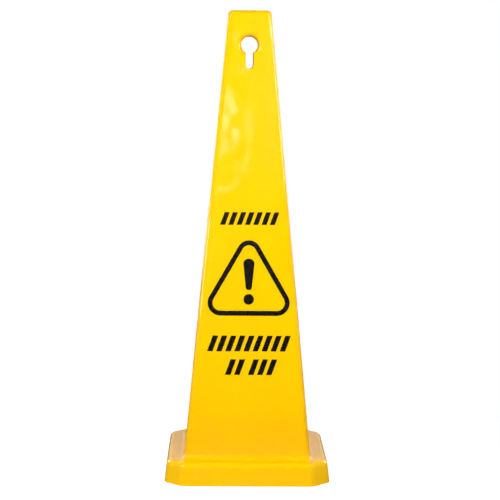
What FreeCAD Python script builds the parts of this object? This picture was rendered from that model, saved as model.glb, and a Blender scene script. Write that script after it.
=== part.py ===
import FreeCAD, Part
import Sketcher
import math
import os
import re

# Four-sided floor caution cone: one hollow moulding and the die-cut film graphics on its four faces.
# Frame: origin at the centre of the base on the floor, +Z up, front face towards -Y, millimetres.

DIMENSIONS = {
    # Overall shape of the moulding
    "total_height": 890,
    "plinth_height": 42.5,
    "base_width": 314,
    "plinth_top_width": 304,
    "plinth_corner_cut": 33,
    "body_foot_width": 241.2,
    "body_top_width": 82,
    "wall": 2.5,
    # Rounding of its edges
    "plinth_corner_radius": 22,
    "plinth_edge_radius": 10,
    "foot_radius": 10,
    "body_edge_radius": 10,
    # Keyhole through the front and rear walls, with a rolled-in lip
    "keyhole_height": 825,
    "keyhole_radius": 16.5,
    "lip_roll_radius": 8.5,
    "lip_land": 4,
    "slot_width": 15,
    "slot_drop": 45,
    "slot_lead_radius": 1.4,
    "slot_collar_wall": 3,
    "slot_collar_depth": 5,
    # Ribs inside the hollow
    "gusset_thickness": 2.5,
    "gusset_spacing": 90,
    "gusset_count": 3,
    "gusset_foot": 4,
    "stop_rib_thickness": 3,
    "stop_rib_spacing": 28,
    "stop_rib_count": 2,
    "stop_rib_reach": 32,
    "stop_rib_bottom": 770,
    # Moulding gate in the middle of the cap
    "gate_dimple_radius": 7,
    "gate_dimple_depth": 1,
    "gate_nub_radius": 1.5,
    "gate_nub_height": 0.6,
    # Graphics film; its heights are measured up the sloping face from the face's foot
    "film": 0.2,
    "block_lean": 20,
    "heading_start": -54.4,
    "heading_base": 445.9,
    "heading_height": 24,
    "heading_pitch": 15.7,
    "heading_block_width": 9.6,
    "heading_blocks": 7,
    "message_pitch": 17.2,
    "message_block_width": 10.5,
    "upper_start": -77.5,
    "upper_base": 206.1,
    "upper_height": 29.8,
    "upper_blocks": 9,
    "lower_start": -43.4,
    "lower_base": 161.3,
    "lower_height": 29.6,
    "lower_first_blocks": 2,
    "lower_last_blocks": 3,
    "lower_word_gap": 9.2,
    # Warning triangle and the mark inside it
    "emblem_centre": 0.9,
    "triangle_base": 273.7,
    "triangle_side": 191.4,
    "triangle_line": 9.3,
    "triangle_foot_radius": 24.5,
    "triangle_top_radius": 22.8,
    "mark_dot_height": 31,
    "mark_dot_radius": 10,
    "mark_stem_foot": 49,
    "mark_stem_head": 108,
    "mark_foot_width": 11,
    "mark_head_width": 23,
    "mark_foot_radius": 5,
    "mark_head_radius": 9.5,
}
SHEET = "dims"
ALIAS = re.compile(r"\b(" + "|".join(DIMENSIONS) + r")\b")
SIDES = ("front", "right", "back", "left")
QUARTER_TURN = 90
NEAR = 0.01
HALF_METRE = 500
LEVEL_AXIS = -1
UPRIGHT_AXIS = -2

# Half the body's width lost for each millimetre of height, and the same for the drafted plinth
BODY_SLOPE = "((body_foot_width - body_top_width) / 2 / (total_height - plinth_height))"
PLINTH_SLOPE = "((base_width - plinth_top_width) / 2 / plinth_height)"


def make_sheet(doc):
    sheet = doc.addObject("Spreadsheet::Sheet", SHEET)
    for row, (alias, value) in enumerate(DIMENSIONS.items(), start=1):
        sheet.set(f"A{row}", alias)
        sheet.set(f"B{row}", str(value))
        sheet.setAlias(f"B{row}", alias)
    doc.recompute()


def bound(expression):
    """The expression with every dimension's name turned into a reference to its cell."""
    return ALIAS.sub(SHEET + r".\1", expression)


def bind(item, **settings):
    for name, expression in settings.items():
        item.setExpression(name, bound(expression))


def number(item, expression):
    """An expression's present value, as a plain number."""
    result = item.evalExpression(bound(expression))
    return getattr(result, "Value", result)


def half_body(height):
    """Expression for half the body's outer width at a height."""
    return f"(body_foot_width / 2 - (({height}) - plinth_height) * {BODY_SLOPE})"


# Sketches


def make_body(doc, label):
    body = doc.addObject("PartDesign::Body", label)
    body.Label = label
    body.AllowCompound = True
    return body


def origin_item(body, role):
    return next(item for item in body.Origin.OriginFeatures if item.Role == role)


def plane_sketch(body, name, role, offset="0"):
    """Sketch parallel to an origin plane, moved along the plane's normal."""
    sketch = body.newObject("Sketcher::SketchObject", name)
    sketch.AttachmentSupport = [(origin_item(body, role), "")]
    sketch.MapMode = "FlatFace"
    sketch.setExpression(".AttachmentOffset.Base.z", bound(offset))
    body.Document.recompute()
    return sketch


def face_sketch(body, name):
    """Sketch on the front face: x to the right, y up the slope from the face's foot."""
    sketch = body.newObject("Sketcher::SketchObject", name)
    sketch.AttachmentSupport = [(origin_item(body, "XZ_Plane"), "")]
    sketch.MapMode = "FlatFace"
    lean = FreeCAD.Rotation(FreeCAD.Vector(-1, 0, 0), number(sketch, f"atan({BODY_SLOPE})"))
    sketch.AttachmentOffset = FreeCAD.Placement(FreeCAD.Vector(0, 0, 0), lean)
    sketch.setExpression(".AttachmentOffset.Base.y", bound("plinth_height"))
    sketch.setExpression(".AttachmentOffset.Base.z", bound("body_foot_width / 2"))
    sketch.setExpression(".AttachmentOffset.Rotation.Angle", bound(f"atan({BODY_SLOPE})"))
    body.Document.recompute()
    return sketch


def pin_point(sketch, geometry, end, across, up):
    """Fix a sketch point at coordinates given as expressions; on an axis, "0" ties it to the axis."""
    for kind, expression, axis in (("DistanceX", across, UPRIGHT_AXIS), ("DistanceY", up, LEVEL_AXIS)):
        if expression == "0":
            sketch.addConstraint(Sketcher.Constraint("PointOnObject", geometry, end, axis))
            continue
        value = number(sketch, expression)
        index = sketch.addConstraint(Sketcher.Constraint(kind, -1, 1, geometry, end, value))
        sketch.setExpression(f"Constraints[{index}]", bound(expression))


def draw_polygon(sketch, corners, closed=True):
    """Straight lines through corners, each a pair of expressions; returns the first and last line."""
    points = [FreeCAD.Vector(number(sketch, across), number(sketch, up), 0) for across, up in corners]
    if closed:
        points.append(points[0])
    first = sketch.GeometryCount
    for start, end in zip(points, points[1:]):
        sketch.addGeometry(Part.LineSegment(start, end))
    last = sketch.GeometryCount - 1
    for line in range(first, last):
        sketch.addConstraint(Sketcher.Constraint("Coincident", line, 2, line + 1, 1))
    if closed:
        sketch.addConstraint(Sketcher.Constraint("Coincident", last, 2, first, 1))
    else:
        pin_point(sketch, last, 2, *corners.pop())
    for line, (across, up) in enumerate(corners, start=first):
        pin_point(sketch, line, 1, across, up)
    return first, last


def draw_circle(sketch, across, up, radius):
    centre = FreeCAD.Vector(number(sketch, across), number(sketch, up), 0)
    upright = FreeCAD.Vector(0, 0, 1)
    circle = sketch.addGeometry(Part.Circle(centre, upright, number(sketch, radius)))
    pin_point(sketch, circle, 3, across, up)
    index = sketch.addConstraint(Sketcher.Constraint("Radius", circle, number(sketch, radius)))
    sketch.setExpression(f"Constraints[{index}]", bound(radius))


# Features


def add_feature(body, kind, name, sketch, length):
    """Pad or Pocket of a sketch, its length bound to an expression."""
    feature = body.newObject(f"PartDesign::{kind}", name)
    feature.Profile = sketch
    bind(feature, Length=length)
    body.Document.recompute()
    return feature


def picked(items, kind, chosen):
    """Names of the edges or faces that a test picks."""
    names = [f"{kind}{index}" for index, item in enumerate(items, start=1) if chosen(item)]
    if not names:
        raise ValueError(f"no {kind.lower()} fits the test")
    return names


def add_fillet(body, name, radius, chosen):
    tip = body.Tip
    fillet = body.newObject("PartDesign::Fillet", name)
    fillet.Base = (tip, picked(tip.Shape.Edges, "Edge", chosen))
    bind(fillet, Radius=radius)
    body.Document.recompute()


def add_draft(body, name, slope, chosen):
    """Lean faces inwards about the floor plane."""
    tip = body.Tip
    draft = body.newObject("PartDesign::Draft", name)
    draft.Base = (tip, picked(tip.Shape.Faces, "Face", chosen))
    draft.NeutralPlane = (origin_item(body, "XY_Plane"), [""])
    bind(draft, Angle=f"atan({slope})")
    body.Document.recompute()


def add_row(body, name, feature, sketch, axis, count, span):
    """Repeat a feature along a sketch's own axis."""
    row = body.newObject("PartDesign::LinearPattern", name)
    row.Originals = [feature]
    row.Direction = (sketch, [axis])
    bind(row, Length=span, Occurrences=count)
    body.Tip = row
    body.Document.recompute()


# Tests that find an edge or a face by where it lies


def heights(shape):
    return [vertex.Z for vertex in shape.Vertexes]


def is_level(edge, height):
    return all(abs(z - height) < NEAR for z in heights(edge))


def rises(shape, rise):
    return max(heights(shape)) - min(heights(shape)) > rise


def reach(edge):
    """How far an edge goes from the vertical axis, along X or Y."""
    return max(max(abs(vertex.X), abs(vertex.Y)) for vertex in edge.Vertexes)


def is_upright(face):
    return abs(face.normalAt(0, 0).z) < NEAR


# The hollow moulding


def cut_corner_square(half, cut):
    """Corners of a square whose four corners are cut at 45 degrees."""
    shoulder = f"({half} - {cut})"
    corners = []
    for x_sign, y_sign in ((1, 1), (-1, 1), (-1, -1), (1, -1)):
        pair = [
            (f"{x_sign} * {half}", f"{y_sign} * {shoulder}"),
            (f"{x_sign} * {shoulder}", f"{y_sign} * {half}"),
        ]
        corners += pair if x_sign == y_sign else pair[::-1]
    return corners


def square(half):
    return [(f"{x} * {half}", f"{y} * {half}") for x, y in ((1, 1), (-1, 1), (-1, -1), (1, -1))]


def add_form(body, inset):
    """Plinth and tapering body, every face moved inwards by the inset."""
    plinth_inset = f"({inset} / cos(atan({PLINTH_SLOPE})))"
    outline = plane_sketch(body, body.Label + "_plinth_outline", "XY_Plane")
    cut = f"(plinth_corner_cut - (2 - sqrt(2)) * {plinth_inset})"
    draw_polygon(outline, cut_corner_square(f"(base_width / 2 - {plinth_inset})", cut))
    add_feature(body, "Pad", body.Label + "_plinth", outline, f"plinth_height - {inset}")

    outline = plane_sketch(body, body.Label + "_body_outline", "XY_Plane")
    draw_polygon(outline, square(f"({half_body('0')} - {inset} / cos(atan({BODY_SLOPE})))"))
    add_feature(body, "Pad", body.Label + "_body", outline, f"total_height - {inset}")

    ledge = number(outline, f"plinth_height - {inset}")

    def plinth_side(face):
        return is_upright(face) and face.BoundBox.ZMax < ledge + NEAR

    def body_side(face):
        return is_upright(face) and face.BoundBox.ZMax > ledge + NEAR

    add_draft(body, body.Label + "_plinth_draft", PLINTH_SLOPE, plinth_side)
    add_draft(body, body.Label + "_body_draft", BODY_SLOPE, body_side)
    round_form(body, inset)


def round_form(body, inset):
    """Round the form's edges, keeping the wall even between the outer form and its core."""
    plane = origin_item(body, "XY_Plane")
    ledge = number(plane, f"plinth_height - {inset}")
    top = number(plane, f"total_height - {inset}")
    foot = number(plane, "body_foot_width / 2 + foot_radius")

    def plinth_corner(edge):
        return rises(edge, ledge / 2) and max(heights(edge)) < ledge + NEAR

    def body_edge(edge):
        return rises(edge, top / 2) or is_level(edge, top)

    def foot_edge(edge):
        return is_level(edge, ledge) and reach(edge) < foot

    def rim_edge(edge):
        return is_level(edge, ledge) and reach(edge) > foot

    add_fillet(body, body.Label + "_corner_rounding", f"plinth_corner_radius - {inset}", plinth_corner)
    add_fillet(body, body.Label + "_edge_rounding", f"body_edge_radius - {inset}", body_edge)
    add_fillet(body, body.Label + "_foot_rounding", f"foot_radius + {inset}", foot_edge)
    add_fillet(body, body.Label + "_rim_rounding", f"plinth_edge_radius - {inset}", rim_edge)


def hollow_out(doc, body):
    """Cut the core out, which leaves an even wall, open underneath."""
    core = make_body(doc, "core")
    add_form(core, "wall")
    cut = body.newObject("PartDesign::Boolean", "hollow")
    cut.Type = "Cut"
    cut.setObjects([core])
    doc.recompute()


# Keyhole


def outer_wall(sign):
    """Test for the body's outer front face (sign -1) or rear face (sign 1)."""

    def chosen(face):
        faces_out = sign * face.normalAt(0, 0).y > 0.9
        return faces_out and sign * face.CenterOfMass.y > 0 and rises(face, HALF_METRE)

    return chosen


def add_collars(body, name, draw, depth):
    """Thicken the front and rear walls inwards to a flat end, the depth taken at keyhole height."""
    for side, sign in (("front", -1), ("rear", 1)):
        end = f"{-sign} * ({half_body('keyhole_height')} - {depth})"
        outline = plane_sketch(body, f"{name}_{side}_outline", "XZ_Plane", end)
        draw(outline)
        tip = body.Tip
        collar = body.newObject("PartDesign::Pad", f"{name}_{side}")
        collar.Profile = outline
        collar.Reversed = sign > 0
        collar.Type = "UpToFace"
        collar.UpToFace = (tip, picked(tip.Shape.Faces, "Face", outer_wall(sign)))
        body.Document.recompute()


def cut_through(body, name, draw):
    """Cut an outline level through both walls."""
    outline = plane_sketch(body, name + "_outline", "XZ_Plane")
    draw(outline)
    cut = body.newObject("PartDesign::Pocket", name)
    cut.Profile = outline
    cut.Type = "ThroughAll"
    cut.SideType = "Symmetric"
    body.Document.recompute()


def add_keyhole(body):
    plane = origin_item(body, "XZ_Plane")
    centre = number(plane, "keyhole_height")
    bore = number(plane, "keyhole_radius")
    collar = number(plane, "keyhole_radius + wall")

    def is_ring(edge, radius, inset):
        point = edge.Vertexes[0].Point
        half = number(plane, f"{half_body(point.z)} - {inset} / cos(atan({BODY_SLOPE}))")
        round_keyhole = edge.isClosed() and abs(math.hypot(point.x, point.z - centre) - radius) < NEAR
        return round_keyhole and abs(abs(point.y) - half) < NEAR

    def back_edge(edge):
        return is_ring(edge, collar, "wall")

    def mouth_edge(edge):
        return is_ring(edge, bore, "0")

    def draw_collar(sketch):
        draw_circle(sketch, "0", "keyhole_height", "keyhole_radius + wall")

    def draw_bore(sketch):
        draw_circle(sketch, "0", "keyhole_height", "keyhole_radius")

    add_collars(body, "lip", draw_collar, "(lip_roll_radius + lip_land)")
    add_fillet(body, "lip_back", "lip_roll_radius - wall", back_edge)
    cut_through(body, "keyhole_bore", draw_bore)
    add_fillet(body, "lip_roll", "lip_roll_radius", mouth_edge)


def draw_slot(sketch, margin, top):
    """Upright slot with a round lower end, wider by a margin all round."""
    half = f"(slot_width / 2 + {margin})"
    bend = "(keyhole_height - slot_drop + slot_width / 2)"
    sides = [(half, bend), (half, top), (f"-{half}", top), (f"-{half}", bend)]
    right, left = draw_polygon(sketch, sides, closed=False)
    circle = Part.Circle(
        FreeCAD.Vector(0, number(sketch, bend), 0), FreeCAD.Vector(0, 0, 1), number(sketch, half)
    )
    arc = sketch.addGeometry(Part.ArcOfCircle(circle, math.pi, 2 * math.pi))
    sketch.addConstraint(Sketcher.Constraint("Coincident", arc, 1, left, 2))
    sketch.addConstraint(Sketcher.Constraint("Coincident", arc, 2, right, 1))
    index = sketch.addConstraint(Sketcher.Constraint("DistanceY", -1, 1, arc, 3, number(sketch, bend)))
    sketch.setExpression(f"Constraints[{index}]", bound(bend))


def add_slot(body):
    plane = origin_item(body, "XZ_Plane")
    side = number(plane, "slot_width / 2")
    lip_bottom = "(keyhole_height - keyhole_radius - lip_roll_radius)"
    lip_end = number(plane, lip_bottom)

    def draw_collar(sketch):
        draw_slot(sketch, "slot_collar_wall", lip_bottom)

    def draw_bore(sketch):
        draw_slot(sketch, "0", "keyhole_height")

    def lead_edge(edge):
        """Edge of the slot where it breaks through the flat of the outer wall."""
        if edge.Length < NEAR or max(heights(edge)) > lip_end + 1:
            return False
        point = edge.valueAt((edge.FirstParameter + edge.LastParameter) / 2)
        on_face = abs(abs(point.y) - number(plane, half_body(point.z))) < NEAR
        return on_face and abs(point.x) < side + NEAR

    add_collars(body, "slot_collar", draw_collar, "slot_collar_depth")
    cut_through(body, "keyhole_slot", draw_bore)
    add_fillet(body, "slot_lead", "slot_lead_radius", lead_edge)


# Ribs and the gate mark


def add_ribs(body, name, role, corners, thickness, spacing, count):
    """Rows of upright ribs on two opposite walls."""
    span = f"({spacing} * ({count} - 1))"
    outline = plane_sketch(body, name + "_outline", role, f"-{span} / 2")
    draw_polygon(outline, corners)
    draw_polygon(outline, [(f"-({across})", up) for across, up in corners])
    rib = body.newObject("PartDesign::Pad", name)
    rib.Profile = outline
    rib.SideType = "Symmetric"
    bind(rib, Length=thickness)
    body.Document.recompute()
    add_row(body, name + "_row", rib, outline, "N_Axis", count, span)


def add_gussets(body):
    """Three-cornered stiffeners between the plinth's side walls and its ledge."""
    mid_ledge = "(plinth_height - wall / 2)"
    mid_rim = "(plinth_top_width / 2 - wall / 2)"
    diagonal = "((plinth_edge_radius - wall / 2) * (1 - sqrt(0.5)))"
    corners = [
        ("body_foot_width / 2 + foot_radius * 0.6", mid_ledge),
        ("plinth_top_width / 2 - plinth_edge_radius", mid_ledge),
        (f"{mid_rim} - {diagonal}", f"{mid_ledge} - {diagonal}"),
        (f"{mid_rim} + plinth_edge_radius * {PLINTH_SLOPE}", "plinth_height - plinth_edge_radius"),
        (f"{mid_rim} + (plinth_height - gusset_foot) * {PLINTH_SLOPE}", "gusset_foot"),
    ]
    for name, role in (("side_gussets", "XZ_Plane"), ("end_gussets", "YZ_Plane")):
        add_ribs(body, name, role, corners, "gusset_thickness", "gusset_spacing", "gusset_count")


def add_stop_ribs(body):
    """Ribs under the cap that stop one cone from jamming on another when they are stacked."""
    shoulder = "(total_height - body_edge_radius)"
    mid_radius = "(body_edge_radius - wall / 2)"
    mid_wall = f"({half_body(shoulder)} - wall / 2)"
    diagonal = f"({mid_radius} * (1 - sqrt(0.5)))"
    corners = [
        ("stop_rib_reach", "total_height - wall / 2"),
        (f"{mid_wall} - {diagonal}", f"total_height - wall / 2 - {diagonal}"),
        (mid_wall, shoulder),
        (f"{half_body('stop_rib_bottom')} - wall / 2", "stop_rib_bottom"),
        ("stop_rib_reach", "stop_rib_bottom"),
    ]
    sizes = ("stop_rib_thickness", "stop_rib_spacing", "stop_rib_count")
    add_ribs(body, "stop_ribs", "XZ_Plane", corners, *sizes)


def add_gate_mark(body):
    """Shallow dimple in the middle of the cap, with the stub left where the plastic flowed in."""
    outline = plane_sketch(body, "gate_dimple_outline", "XY_Plane", "total_height")
    draw_circle(outline, "0", "0", "gate_dimple_radius")
    add_feature(body, "Pocket", "gate_dimple", outline, "gate_dimple_depth")
    outline = plane_sketch(body, "gate_nub_outline", "XY_Plane", "total_height - gate_dimple_depth")
    draw_circle(outline, "0", "0", "gate_nub_radius")
    add_feature(body, "Pad", "gate_nub", outline, "gate_nub_height")


def make_cone_shell(doc):
    body = make_body(doc, "cone_shell")
    add_form(body, "0")
    hollow_out(doc, body)
    add_keyhole(body)
    add_slot(body)
    add_gussets(body)
    add_stop_ribs(body)
    add_gate_mark(body)
    return body


# Graphics film, drawn on the front face and turned about the vertical axis on to the others


def add_blocks(body, name, start, base, height, width, pitch, count):
    """Row of leaning blocks on a line of the face."""
    sketch = face_sketch(body, name + "_outline")
    lean = f"({height} * tan(block_lean * 1deg))"
    corners = [
        (start, base),
        (f"{start} + {width}", base),
        (f"{start} + {width} + {lean}", f"{base} + {height}"),
        (f"{start} + {lean}", f"{base} + {height}"),
    ]
    draw_polygon(sketch, corners)
    block = add_feature(body, "Pad", name, sketch, "film")
    add_row(body, name + "_row", block, sketch, "H_Axis", count, f"{pitch} * ({count} - 1)")


def draw_heading(body):
    add_blocks(
        body,
        "heading",
        "heading_start",
        "heading_base",
        "heading_height",
        "heading_block_width",
        "heading_pitch",
        "heading_blocks",
    )


def add_message_blocks(body, name, start, base, height, count):
    add_blocks(body, name, start, base, height, "message_block_width", "message_pitch", count)


def draw_message_upper(body):
    add_message_blocks(body, "upper", "upper_start", "upper_base", "upper_height", "upper_blocks")


def draw_message_lower(body):
    second_start = "(lower_start + lower_first_blocks * message_pitch + lower_word_gap)"
    words = (
        ("lower_first", "lower_start", "lower_first_blocks"),
        ("lower_last", second_start, "lower_last_blocks"),
    )
    for name, start, count in words:
        add_message_blocks(body, name, start, "lower_base", "lower_height", count)


def at_corners(sketch, corners):
    """Test for the short edges across the film at some of a sketch's corners."""
    spots = []
    for across, up in corners:
        spot = FreeCAD.Vector(number(sketch, across), number(sketch, up), 0)
        spots.append(sketch.Placement.multVec(spot))
    reach_limit = number(sketch, "film * 2")

    def chosen(edge):
        middle = edge.CenterOfMass
        at_spot = any(middle.distanceToPoint(spot) < reach_limit for spot in spots)
        return edge.Length < reach_limit and at_spot

    return chosen


def triangle(inset):
    """Sharp corners of the warning triangle, every side moved inwards: two at the foot, then the top."""
    side = f"(triangle_side - 2 * sqrt(3) * {inset})"
    base = f"(triangle_base + {inset})"
    return [
        (f"emblem_centre - {side} / 2", base),
        (f"emblem_centre + {side} / 2", base),
        ("emblem_centre", f"{base} + {side} * sqrt(3) / 2"),
    ]


def draw_warning_triangle(body):
    sketch = face_sketch(body, "triangle_outline")
    outer = triangle("0")
    inner = triangle("triangle_line")
    draw_polygon(sketch, outer)
    draw_polygon(sketch, inner)
    add_feature(body, "Pad", "triangle", sketch, "film")
    add_fillet(body, "outer_foot", "triangle_foot_radius", at_corners(sketch, outer[:2]))
    add_fillet(body, "outer_top", "triangle_top_radius", at_corners(sketch, outer[2:]))
    add_fillet(body, "inner_foot", "triangle_foot_radius - triangle_line", at_corners(sketch, inner[:2]))
    add_fillet(body, "inner_top", "triangle_top_radius - triangle_line", at_corners(sketch, inner[2:]))


def draw_warning_mark(body):
    """Exclamation mark: a stem that narrows downwards above a dot."""
    foot = "(triangle_base + mark_stem_foot)"
    head = "(triangle_base + mark_stem_head)"
    corners = [
        ("emblem_centre - mark_foot_width / 2", foot),
        ("emblem_centre + mark_foot_width / 2", foot),
        ("emblem_centre + mark_head_width / 2", head),
        ("emblem_centre - mark_head_width / 2", head),
    ]
    sketch = face_sketch(body, "stem_outline")
    draw_polygon(sketch, corners)
    add_feature(body, "Pad", "stem", sketch, "film")
    add_fillet(body, "stem_foot", "mark_foot_radius", at_corners(sketch, corners[:2]))
    add_fillet(body, "stem_head", "mark_head_radius", at_corners(sketch, corners[2:]))
    sketch = face_sketch(body, "dot_outline")
    draw_circle(sketch, "emblem_centre", "triangle_base + mark_dot_height", "mark_dot_radius")
    add_feature(body, "Pad", "dot", sketch, "film")


GRAPHICS = {
    "heading_stripes": draw_heading,
    "warning_triangle": draw_warning_triangle,
    "warning_mark": draw_warning_mark,
    "message_stripes_upper": draw_message_upper,
    "message_stripes_lower": draw_message_lower,
}


def make_graphics(doc):
    pieces = []
    for turn, side in enumerate(SIDES):
        for name, draw in GRAPHICS.items():
            piece = make_body(doc, f"{side}_{name}")
            draw(piece)
            upright = FreeCAD.Vector(0, 0, 1)
            turned = FreeCAD.Rotation(upright, turn * QUARTER_TURN)
            piece.Placement = FreeCAD.Placement(FreeCAD.Vector(0, 0, 0), turned)
            pieces.append(piece)
    return pieces


def check(doc, pieces):
    """Stop if anything failed to compute, or a piece is empty or unsound."""
    for item in doc.Objects:
        if "Invalid" in item.State or "Error" in item.State:
            raise RuntimeError(f"{item.Name} failed: {item.getStatusString()}")
    for piece in pieces:
        if piece.Shape.isNull() or not piece.Shape.isValid() or not piece.Shape.Solids:
            raise RuntimeError(f"{piece.Label} is not a sound solid")


def main():
    doc = FreeCAD.newDocument("caution_cone")
    make_sheet(doc)
    pieces = [make_cone_shell(doc)] + make_graphics(doc)
    doc.recompute()
    check(doc, pieces)
    os.makedirs("parts", exist_ok=True)
    for piece in pieces:
        piece.Shape.exportStep(f"parts/{piece.Label}.step")


main()
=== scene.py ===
import math

import bpy
from mathutils import Matrix, Vector

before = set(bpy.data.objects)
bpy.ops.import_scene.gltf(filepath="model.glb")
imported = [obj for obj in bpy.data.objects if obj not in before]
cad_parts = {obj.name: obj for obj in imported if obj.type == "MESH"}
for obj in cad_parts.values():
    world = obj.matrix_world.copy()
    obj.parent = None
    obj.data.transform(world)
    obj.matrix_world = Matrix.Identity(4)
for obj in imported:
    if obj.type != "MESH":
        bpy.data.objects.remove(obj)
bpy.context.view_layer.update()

# Camera: almost straight on to the front face, a little above its middle
CAMERA_DISTANCE = 3.192
CAMERA_HEIGHT = 0.796
CAMERA_YAW = 0.0155
CAMERA_TILT = 0.1145
CAMERA_ROLL = 0.0079
LENS = 118.95
SENSOR = 36.0
SHIFT_X = 0.0043
SHIFT_Y = 0.0006

# Lamps: place, point they face, width, height, power in watts, whether they show in reflections
LAMPS = {
    "key_left": ((-1.65, -1.50, 1.85), (0, 0, 0.60), 1.2, 0.8, 25, True),
    "key_right": ((1.70, -1.45, 1.75), (0, 0, 0.60), 1.2, 0.8, 9, True),
    "fill_front": ((-0.6, -2.1, 0.70), (0, 0, 0.50), 1.2, 0.8, 17, False),
    "fill_mid": ((0.3, -1.5, 1.00), (0, 0, 0.70), 0.5, 0.5, 15, False),
    "fill_low_left": ((-1.7, -1.5, 0.45), (0, 0, 0.35), 0.7, 0.7, 3, False),
    "panel_left": ((-2.1, -0.75, 0.60), (0, 0, 0.40), 0.5, 0.34, 7, True),
    "strip_right": ((2.0, -0.65, 1.13), (0, 0, 0.75), 0.40, 0.54, 14, True),
    "back_left": ((-1.6, 1.6, 1.0), (0, 0, 0.40), 0.8, 1.4, 16, True),
    "back_right": ((1.6, 1.6, 1.0), (0, 0, 0.40), 0.8, 1.4, 16, True),
    "window": ((-0.38, -5.0, 1.39), (0, 0, 0.65), 0.7, 0.34, 4.4, True),
    "window_high": ((-0.30, -5.0, 1.93), (0, 0, 0.85), 0.3, 0.16, 0.8, True),
}

# What the plastic reflects of the room: dark in front and above, brighter at the sides and behind
WORLD_SIDE = 0.45
WORLD_BACK = 0.69

# Linear colours
YELLOW = (0.91, 0.515, 0.0008, 1.0)
DEEP_YELLOW = (0.89, 0.485, 0.0012, 1.0)
SCRATCHED_YELLOW = (0.95, 0.78, 0.30, 1.0)
# Painted shade: darker orange laid on the foot of the body above the plinth
FOOT_SHADE_YELLOW = (0.62, 0.25, 0.002, 1.0)
FILM_BLACK = (0.0022, 0.0018, 0.0022, 1.0)
FILM_GREY = (0.0050, 0.0042, 0.0048, 1.0)
TABLE_GREY = (0.30, 0.30, 0.30, 1.0)
CARD_GREY = (0.12, 0.115, 0.11, 1.0)
WHITE = (1.0, 1.0, 1.0, 1.0)

# Relief of the plastic: lumps per metre, and depth in metres
WAVE_LUMPS = 22.0
WAVE_DEPTH = 0.0008
STREAK_LUMPS = (55.0, 55.0, 3.0)
STREAK_DEPTH = 0.00006
PEEL_LUMPS = 420.0
PEEL_DEPTH = 0.00002

# Painted shade on the foot of the body: its most, from 0 to 1, and the heights in metres between which it
# grows, then fades
FOOT_SHADE_MOST = 0.23
FOOT_SHADE_START = 0.041
FOOT_SHADE_FULL = 0.052
FOOT_SHADE_FADE_START = 0.045
FOOT_SHADE_FADE_END = 0.190

# Table: metres from its middle to a side, and the glow that makes it white to the camera
TABLE_HALF_SIDE = 12.0
TABLE_GLOW = 0.86


# Shader helpers


def new_material(name):
    material = bpy.data.materials.new(name)
    material.use_nodes = True
    material.node_tree.nodes.clear()
    return material, material.node_tree


def node(tree, kind, settings=None, **inputs):
    """Adds a shader node; inputs are values or (node, output) pairs, by name or as i0, i1 by number."""
    made = tree.nodes.new(kind)
    for name, value in (settings or {}).items():
        setattr(made, name, value)
    for name, value in inputs.items():
        by_number = name[0] == "i" and name[1:].isdigit()
        socket = made.inputs[int(name[1:]) if by_number else name]
        if isinstance(value, tuple) and len(value) == 2 and hasattr(value[0], "outputs"):
            tree.links.new(value[0].outputs[value[1]], socket)
        else:
            socket.default_value = value
    return made


def noise(tree, where, scale, detail=2.0):
    """Noise over the object's own coordinates; scale is lumps per metre, one number or one an axis."""
    if isinstance(scale, float):
        scale = (scale, scale, scale)
    stretched = node(tree, "ShaderNodeMapping", Vector=(where, "Object"), Scale=scale)
    return node(tree, "ShaderNodeTexNoise", Vector=(stretched, "Vector"), Scale=1.0, Detail=detail)


def ramp(tree, source, output, low, high, start, end):
    """Smooth step of a node's output, from start at low to end at high."""
    return node(
        tree,
        "ShaderNodeMapRange",
        {"interpolation_type": "SMOOTHSTEP"},
        **{"Value": (source, output), "From Min": low, "From Max": high, "To Min": start, "To Max": end},
    )


def combine(tree, operation, first, second):
    return node(tree, "ShaderNodeMath", {"operation": operation}, i0=first, i1=second)


def mix_colour(tree, factor, first, second):
    return node(tree, "ShaderNodeMixRGB", Fac=factor, Color1=first, Color2=second)


def mix_shader(tree, factor, first, second):
    return node(tree, "ShaderNodeMixShader", i0=factor, i1=first, i2=second)


def bump(tree, height, depth, **under):
    """Bump of a height field; depth is in metres, and under is the normal it lies on."""
    return node(tree, "ShaderNodeBump", Strength=1.0, Distance=depth, Height=height, **under)


def face_waves(tree, where):
    """Slow sink waves of the moulded faces, which the film on them follows."""
    return bump(tree, (noise(tree, where, WAVE_LUMPS, 1.0), "Fac"), WAVE_DEPTH)


def scuffs(tree, where):
    """Mask of fine hair scratches: patchy everywhere, thicker near the floor."""
    hairs = noise(tree, where, (900.0, 900.0, 26.0), 1.0)
    lines = ramp(tree, hairs, "Fac", 0.67, 0.73, 0.0, 1.0)
    patches = ramp(tree, noise(tree, where, 11.0), "Fac", 0.50, 0.66, 0.10, 0.8)
    parts = node(tree, "ShaderNodeSeparateXYZ", Vector=(where, "Object"))
    low = ramp(tree, parts, "Z", 0.0, 0.10, 0.8, 0.0)
    cover = combine(tree, "MAXIMUM", (patches, "Result"), (low, "Result"))
    return combine(tree, "MULTIPLY", (lines, "Result"), (cover, "Value"))


def painted_foot_shade(tree, where):
    """Mask of painted shade on the foot of the body, thickest in the crease where it meets the plinth, fading
    upward.
    """
    parts = node(tree, "ShaderNodeSeparateXYZ", Vector=(where, "Object"))
    above_ledge = ramp(tree, parts, "Z", FOOT_SHADE_START, FOOT_SHADE_FULL, 0.0, FOOT_SHADE_MOST)
    fading = ramp(tree, parts, "Z", FOOT_SHADE_FADE_START, FOOT_SHADE_FADE_END, 1.0, 0.0)
    return combine(tree, "MULTIPLY", (above_ledge, "Result"), (fading, "Result"))


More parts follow.
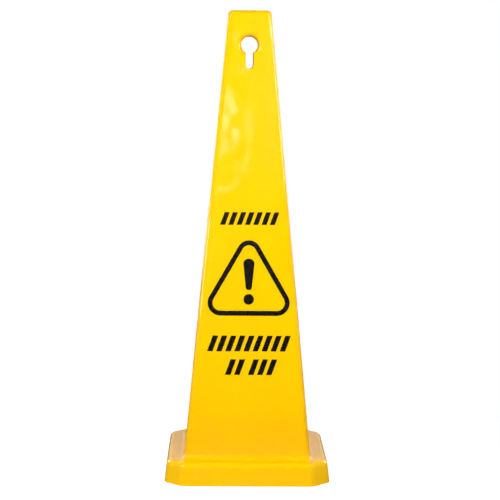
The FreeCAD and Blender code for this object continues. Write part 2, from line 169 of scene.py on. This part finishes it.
def yellow_plastic():
    """Glossy moulded polypropylene: uneven pigment, flow streaks from the gate, sink waves, fine peel,
    painted shade on the foot.
    """
    material, tree = new_material("moulded_yellow_plastic")
    where = node(tree, "ShaderNodeTexCoord")
    streaks = noise(tree, where, STREAK_LUMPS, 3.0)
    worn = scuffs(tree, where)
    cloud = noise(tree, where, (16.0, 16.0, 5.0), 3.0)
    pigment = mix_colour(tree, (cloud, "Fac"), YELLOW, DEEP_YELLOW)
    pale = combine(tree, "MULTIPLY", (worn, "Value"), 0.06)
    scratched = mix_colour(tree, (pale, "Value"), (pigment, "Color"), SCRATCHED_YELLOW)
    # Painted shade: darkens the body's foot, most in the crease at the plinth, fading up the body
    colour = mix_colour(tree, (painted_foot_shade(tree, where), "Value"), (scratched, "Color"), FOOT_SHADE_YELLOW)
    polish = ramp(tree, streaks, "Fac", 0.35, 0.65, 0.06, 0.09)
    dulled = combine(tree, "MULTIPLY", (worn, "Value"), 0.22)
    roughness = combine(tree, "ADD", (polish, "Result"), (dulled, "Value"))
    waves = face_waves(tree, where)
    flow = bump(tree, (streaks, "Fac"), STREAK_DEPTH, Normal=(waves, "Normal"))
    peel = bump(tree, (noise(tree, where, PEEL_LUMPS), "Fac"), PEEL_DEPTH, Normal=(flow, "Normal"))
    shader = node(
        tree,
        "ShaderNodeBsdfPrincipled",
        **{
            "Base Color": (colour, "Color"),
            "Roughness": (roughness, "Value"),
            "IOR": 1.45,
            "Normal": (peel, "Normal"),
            "Subsurface Weight": 0.25,
            "Subsurface Radius": (1.0, 0.6, 0.1),
            "Subsurface Scale": 0.004,
        },
    )
    node(tree, "ShaderNodeOutputMaterial", Surface=(shader, "BSDF"))
    return material


def black_film():
    """Black die-cut film: satin, faintly mottled, following the waves of the face under it."""
    material, tree = new_material("black_graphics_film")
    where = node(tree, "ShaderNodeTexCoord")
    mottle = noise(tree, where, 130.0, 3.0)
    colour = mix_colour(tree, (mottle, "Fac"), FILM_BLACK, FILM_GREY)
    satin = ramp(tree, mottle, "Fac", 0.3, 0.7, 0.24, 0.34)
    waves = face_waves(tree, where)
    grain = bump(tree, (noise(tree, where, 1500.0), "Fac"), 0.00001, Normal=(waves, "Normal"))
    shader = node(
        tree,
        "ShaderNodeBsdfPrincipled",
        **{
            "Base Color": (colour, "Color"),
            "Roughness": (satin, "Result"),
            "IOR": 1.4,
            "Normal": (grain, "Normal"),
        },
    )
    node(tree, "ShaderNodeOutputMaterial", Surface=(shader, "BSDF"))
    return material


def white_floor():
    """Matt white table: lit white for the camera, and a dimmer card to everything else."""
    material, tree = new_material("studio_floor")
    path = node(tree, "ShaderNodeLightPath")
    where = node(tree, "ShaderNodeTexCoord")
    far = node(tree, "ShaderNodeVectorMath", {"operation": "LENGTH"}, i0=(where, "Object"))
    fade = ramp(tree, far, "Value", 0.25, 0.7, 0.0, 1.0)
    matt = node(tree, "ShaderNodeBsdfDiffuse", Color=TABLE_GREY)
    glow = node(tree, "ShaderNodeEmission", Strength=TABLE_GLOW)
    near = node(tree, "ShaderNodeAddShader", i0=(matt, "BSDF"), i1=(glow, "Emission"))
    white = node(tree, "ShaderNodeEmission", Strength=1.0)
    seen = mix_shader(tree, (fade, "Result"), (near, "Shader"), (white, "Emission"))
    card = node(tree, "ShaderNodeBsdfDiffuse", Color=CARD_GREY)
    mix = mix_shader(tree, (path, "Is Camera Ray"), (card, "BSDF"), (seen, "Shader"))
    node(tree, "ShaderNodeOutputMaterial", Surface=(mix, "Shader"))
    return material


# Stage


def add_floor():
    mesh = bpy.data.meshes.new("studio_floor")
    corners = [(x * TABLE_HALF_SIDE, y * TABLE_HALF_SIDE, 0) for x, y in ((-1, -1), (1, -1), (1, 1), (-1, 1))]
    mesh.from_pydata(corners, [], [(0, 1, 2, 3)])
    floor = bpy.data.objects.new("studio_floor", mesh)
    bpy.context.scene.collection.objects.link(floor)
    mesh.materials.append(white_floor())


def add_softbox(name, place, target, width, height, power, mirrored):
    """Rectangular lamp turned to its target; a lamp that isn't mirrored lights without being reflected."""
    light = bpy.data.lights.new(name, "AREA")
    light.shape = "RECTANGLE"
    light.size = width
    light.size_y = height
    light.energy = power
    lamp = bpy.data.objects.new(name, light)
    lamp.location = place
    lamp.rotation_euler = (Vector(target) - Vector(place)).to_track_quat("-Z", "Y").to_euler()
    lamp.visible_glossy = mirrored
    bpy.context.scene.collection.objects.link(lamp)


def set_world():
    """White all round for the camera; for light and reflections, bright behind, dark in front and above."""
    world = bpy.data.worlds.new("studio_white")
    bpy.context.scene.world = world
    world.use_nodes = True
    tree = world.node_tree
    tree.nodes.clear()
    where = node(tree, "ShaderNodeTexCoord")
    parts = node(tree, "ShaderNodeSeparateXYZ", Vector=(where, "Generated"))
    front = ramp(tree, parts, "Y", -0.75, -0.35, 0.0, WORLD_SIDE)
    back = ramp(tree, parts, "Y", 0.35, 0.75, 0.0, WORLD_BACK - WORLD_SIDE)
    around = combine(tree, "ADD", (front, "Result"), (back, "Result"))
    level = ramp(tree, parts, "Z", 0.35, 0.8, 1.0, 0.0)
    walls = combine(tree, "MULTIPLY", (around, "Value"), (level, "Result"))
    path = node(tree, "ShaderNodeLightPath")
    lit = node(tree, "ShaderNodeBackground", Color=WHITE, Strength=(walls, "Value"))
    seen = node(tree, "ShaderNodeBackground", Color=WHITE, Strength=1.0)
    mix = mix_shader(tree, (path, "Is Camera Ray"), (lit, "Background"), (seen, "Background"))
    node(tree, "ShaderNodeOutputWorld", Surface=(mix, "Shader"))


def add_camera():
    data = bpy.data.cameras.new("camera")
    data.lens = LENS
    data.sensor_width = SENSOR
    data.shift_x = SHIFT_X
    data.shift_y = SHIFT_Y
    camera = bpy.data.objects.new("camera", data)
    bpy.context.scene.collection.objects.link(camera)
    turn = Matrix.Rotation(-CAMERA_YAW, 4, "Z")
    tilt = Matrix.Rotation(math.pi / 2 - CAMERA_TILT, 4, "X")
    roll = Matrix.Rotation(CAMERA_ROLL, 4, "Z")
    place = turn @ Vector((0, -CAMERA_DISTANCE, CAMERA_HEIGHT))
    camera.matrix_world = Matrix.Translation(place) @ turn @ tilt @ roll
    bpy.context.scene.camera = camera


def dress_cad_nodes():
    plastic = yellow_plastic()
    film = black_film()
    for name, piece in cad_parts.items():
        piece.material_slots[0].material = plastic if name == "cone_shell" else film


dress_cad_nodes()
add_floor()
set_world()
add_camera()
for lamp_name, lamp_settings in LAMPS.items():
    add_softbox(lamp_name, *lamp_settings)
bpy.context.scene.view_settings.view_transform = "Standard"
